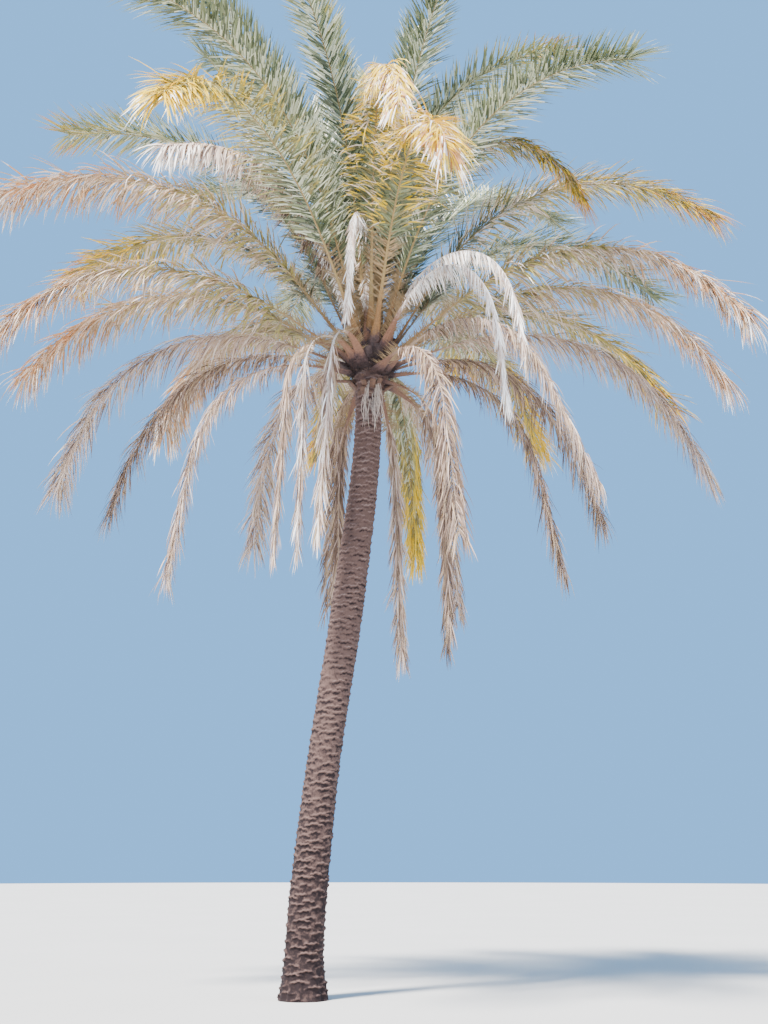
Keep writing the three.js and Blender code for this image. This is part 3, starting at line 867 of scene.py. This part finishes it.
class PALM_OT_ribs(bpy.types.Operator):
    """Grow every frond's petiole and rib, broad and orange-brown where it clasps the heart"""
    bl_idname = "palm.ribs"
    bl_label = "Petioles and ribs"

    def execute(self, context):
        colours = context.scene.palm_colours
        materials = [
            petiole_material("smooth_living_petiole", colours.living_base, colours.living_rib, 0.5),
            petiole_material("dry_dead_petiole", colours.dead_base, colours.dead_rib, 0.8),
            petiole_material("bleached_dead_petiole", colours.bleached_base, colours.bleached_rib, 0.8),
        ]
        for slot_name in ("leaf_green", "leaf_yellowing", "leaf_dry"):
            fronds = [frond for frond in crown() if frond[0].whorl.slot == slot_name]
            shapes = [self.rib_shape(rib, look) for rib, look, _ in fronds]
            piece = joined(f"ribs_{slot_name}", shapes, materials)
            from_heart = np.concatenate([shape[3] for shape in shapes])
            piece.data.attributes.new("from_heart", "FLOAT", "POINT").data.foreach_set("value", from_heart)
            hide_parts(*[node for _, _, node in fronds])
        return {"FINISHED"}

    def rib_shape(self, rib, look):
        """A rib as rings of eight: a flat top, a round back, and a broad clasping base."""
        share = np.concatenate([np.linspace(0, BLADE_START, 12), np.linspace(BLADE_START, 1, 34)[1:]])
        along, top, right = rib.directions(share)
        place = rib.places(share)
        place[0] -= along[0] * 0.05
        distance = share * rib.length
        half = rib.width(share) / 2
        # The base clasps the heart: broad over its first third of a metre, then easing off over 1.3 m.
        broad, reach = (0.042, 0.34) if look in PALE_LOOKS else (0.04, 0.26)
        clasp = broad * np.exp(-(distance / reach) ** 1.4) + 0.009 * np.exp(-(distance / 1.3) ** 2)
        deep = ((half + 0.4 * clasp) * RIB_FLATNESS)[:, None, None]
        half = (half + clasp)[:, None, None]
        turn = np.arange(RIB_SIDES) * 2 * np.pi / RIB_SIDES
        x = np.cos(turn)
        y = np.where(np.sin(turn) > 0, 0.45 * np.sin(turn), np.sin(turn))
        rings = place[:, None] + right[:, None] * half * x[:, None] + top[:, None] * deep * y[:, None]
        tip = rib.places(1) + along[-1] * 0.12
        points = np.concatenate([rings.reshape(-1, 3), [tip]])
        faces = [(0, k + 1, k) for k in range(1, RIB_SIDES - 1)]
        for n in range(len(share)):
            for k in range(RIB_SIDES):
                a, b = RIB_SIDES * n + k, RIB_SIDES * n + (k + 1) % RIB_SIDES
                if n == len(share) - 1:
                    faces.append((a, b, len(points) - 1))
                else:
                    faces += [(a, b, b + RIB_SIDES), (a, b + RIB_SIDES, a + RIB_SIDES)]
        kind = 2 if look in PALE_LOOKS else 1 if look in DEAD_LOOKS else 0
        from_heart = np.append(np.repeat(distance, RIB_SIDES), rib.length)
        from_heart /= 0.7 + 0.6 * chance(rib.number, 31)
        return points, np.array(faces), np.full(len(faces), kind), from_heart


class PALM_OT_spines(bpy.types.Operator):
    """Stand stiff spines along both edges of every petiole"""
    bl_idname = "palm.spines"
    bl_label = "Petiole spines"

    def execute(self, context):
        rng = np.random.default_rng(SEED + 1)
        size = context.scene.palm_crown.spine_length
        count = SPINES_A_SIDE
        parts = []
        for rib, look, _ in crown():
            end = BLADE_START + 0.02 + (1 - BLADE_START) * BARE.get(look, 0)
            for side in (1, -1):
                share = np.sort(rng.uniform(0.035, end, count))
                along, top, right = rib.directions(share)
                root = rib.places(share) + right * (side * rib.width(share) * RIB_EDGE)[:, None]
                way = unit(along * rng.uniform(0.3, 0.9, (count, 1)) + right * side
                           + top * rng.uniform(-0.1, 0.6, (count, 1)))
                reach = size * rng.uniform(0.4, 1.5, count) * (0.5 + np.minimum(share / BLADE_START, 1.2))
                spines = blades(root, way[:, None], top, reach, np.full(count, 0.011), (1,), 0.5)
                parts.append(in_one_material(spines))
        material = plain_material("stiff_petiole_spine", context.scene.palm_colours.spine, 0.5, 0.4)
        piece = joined("petiole_spines", parts, [material])
        return {"FINISHED"}


class PALM_OT_leaflets(bpy.types.Operator):
    """Grow the leaflets of one whorl along both sides of its ribs"""
    bl_idname = "palm.leaflets"
    bl_label = "Leaflets"

    whorl: bpy.props.StringProperty(name="Whorl", description="Name of the whorl to grow", default="inner")

    def execute(self, context):
        fronds = [frond for frond in crown() if frond[0].whorl.name == self.whorl]
        materials = [leaf_material(tint) for tint in LEAF_TINTS]
        parts = [part for rib, look, _ in fronds for part in self.sprays(context.scene.palm_crown, rib, look)]
        piece = joined(f"leaflets_{self.whorl}", parts, materials)
        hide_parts(*[node for _, _, node in fronds])
        return {"FINISHED"}

    def sprays(self, sizes, rib, look):
        """Both sides' leaflets of one frond, with a tint for each stretch of each leaflet."""
        rng = np.random.default_rng(SEED + 100 + rib.number)
        whorl = rib.whorl
        dead = look in DEAD_LOOKS
        straight = whorl.slack >= 0.9
        count = round(rib.length * (1 - BLADE_START) / sizes.leaflet_gap)
        bare = BARE.get(look, 0) * count
        lost = 0.4 if look == "white" else 0.14 if dead else 0.03
        combed = 4.5 if look in FRESH_LOOKS else 7.5
        shortest = 0.45 if look == "white" else 0.8
        # How much of its slack a leaflet hangs by over each stretch, and how much it sags besides.
        stretches = ((0.85 if straight else 0.55, 0), (0.95, 0.02), (1.1, 0.06), (1.2, 0.13))
        for side in (1, -1):
            kept = np.flatnonzero((rng.random(count) > lost) & (np.arange(count) >= bare))
            tuft = rng.normal(0, 1, (count // TUFT + 1, 3))[kept // TUFT]
            some = len(kept)
            share = (kept + rng.uniform(0.2, 0.8, some)) / count
            on_rib = BLADE_START + (1 - BLADE_START) * share
            along, top, right = rib.directions(on_rib)
            root = rib.places(on_rib) + right * (side * rib.width(on_rib) * RIB_EDGE)[:, None]
            opened = whorl.open * (OPEN_START + (OPEN_TIP - OPEN_START) * share)
            angle = np.radians(opened + rng.normal(0, combed, some))[:, None]
            lift = np.radians(rng.choice(RANKS, some) + rng.normal(0, combed, some))[:, None]
            stiff = (along * np.cos(angle) + right * side * np.sin(angle) * np.cos(lift)
                     + top * np.sin(angle) * np.sin(lift))
            stray = (0.1 if straight else 0.13) * (tuft + rng.normal(0, 1, (some, 3)))
            hung = unit(along * HUNG_ALONG + right * side * HUNG_OUT + stray - UP)
            longest = whorl.leaf * np.minimum(1, START_LENGTH + LENGTH_GAIN * share)
            reach = longest * (1 - (1 - TIP_LENGTH) * share ** 2) * rng.uniform(shortest, 1, some)
            sagging = np.interp(share, (0, 1), SAGGING.get(look, (0, 0)))
            loose = (0.04 if straight else 0.1) if dead else 0.03 + 0.3 * sagging
            slack = np.clip(whorl.slack + sagging + loose * (0.7 * tuft[:, 0] + rng.normal(0, 1, some)), 0, 1)
            ways = np.stack([unit(blend(stiff, hung, np.clip(slack * part + sag, 0, 1)))
                             for part, sag in stretches], 1)
            width = (sizes.dry_width if dead else sizes.leaflet_width) * rng.uniform(0.8, 1.15, some)
            face_up = unit(top + rng.normal(0, 0.5 if dead else 0.2, (some, 3)))
            points, faces, stretch = blades(root, ways, face_up, reach, width, (0.5, 1, 0.85, 0.55), 0.35)
            if dead:
                order = np.repeat(rng.random(some)[:, None], stretch.shape[1], 1)
            else:
                order = 0.24 * stretch / 3 + (0.56 * share ** 1.3 + rng.uniform(-0.14, 0.22, some))[:, None]
            names = (DEAD_LOOKS if dead else LIVING_LOOKS)[look]
            tints = np.array([LEAF_TINTS.index(name) for name in names])
            yield points, faces, tints[(np.clip(order, 0, 0.999) * len(names)).astype(int)]


class PALM_PT_panel(bpy.types.Panel):
    """Lists the palm's pieces and sizes"""
    bl_idname = "PALM_PT_panel"
    bl_label = "Date Palm"
    bl_space_type = "VIEW_3D"
    bl_region_type = "UI"
    bl_category = "Palm"

    def draw(self, context):
        for operator in OPERATORS:
            self.layout.operator(operator.bl_idname)
        for group in GROUPS:
            box = self.layout.box()
            for name in GROUPS[group].__annotations__:
                box.prop(getattr(context.scene, group), name)


GROUPS = {"palm_stage": PalmStage, "palm_trunk": PalmTrunk, "palm_crown": PalmCrown,
          "palm_colours": PalmColours}
OPERATORS = (PALM_OT_camera, PALM_OT_stage, PALM_OT_trunk_bark, PALM_OT_cut_leaf_bases, PALM_OT_heart_fibre,
             PALM_OT_ribs, PALM_OT_spines, PALM_OT_leaflets)


def register():
    for cls in (*GROUPS.values(), *OPERATORS, PALM_PT_panel):
        bpy.utils.register_class(cls)
    for name, group in GROUPS.items():
        setattr(bpy.types.Scene, name, bpy.props.PointerProperty(type=group))


def unregister():
    for name in GROUPS:
        delattr(bpy.types.Scene, name)
    for cls in (PALM_PT_panel, *reversed(OPERATORS), *reversed(GROUPS.values())):
        bpy.utils.unregister_class(cls)


def main():
    register()
    bpy.ops.palm.camera()
    bpy.ops.palm.stage()
    bpy.ops.palm.trunk_bark()
    bpy.ops.palm.cut_leaf_bases()
    bpy.ops.palm.heart_fibre()
    bpy.ops.palm.ribs()
    bpy.ops.palm.spines()
    for whorl in WHORLS:
        bpy.ops.palm.leaflets(whorl=whorl.name)
    boxes = {"cad": CAD_BOX, "visual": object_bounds()}
    {name: [list(corner) for corner in box] for name, box in boxes.items()}


if __name__ == "__main__":
    main()
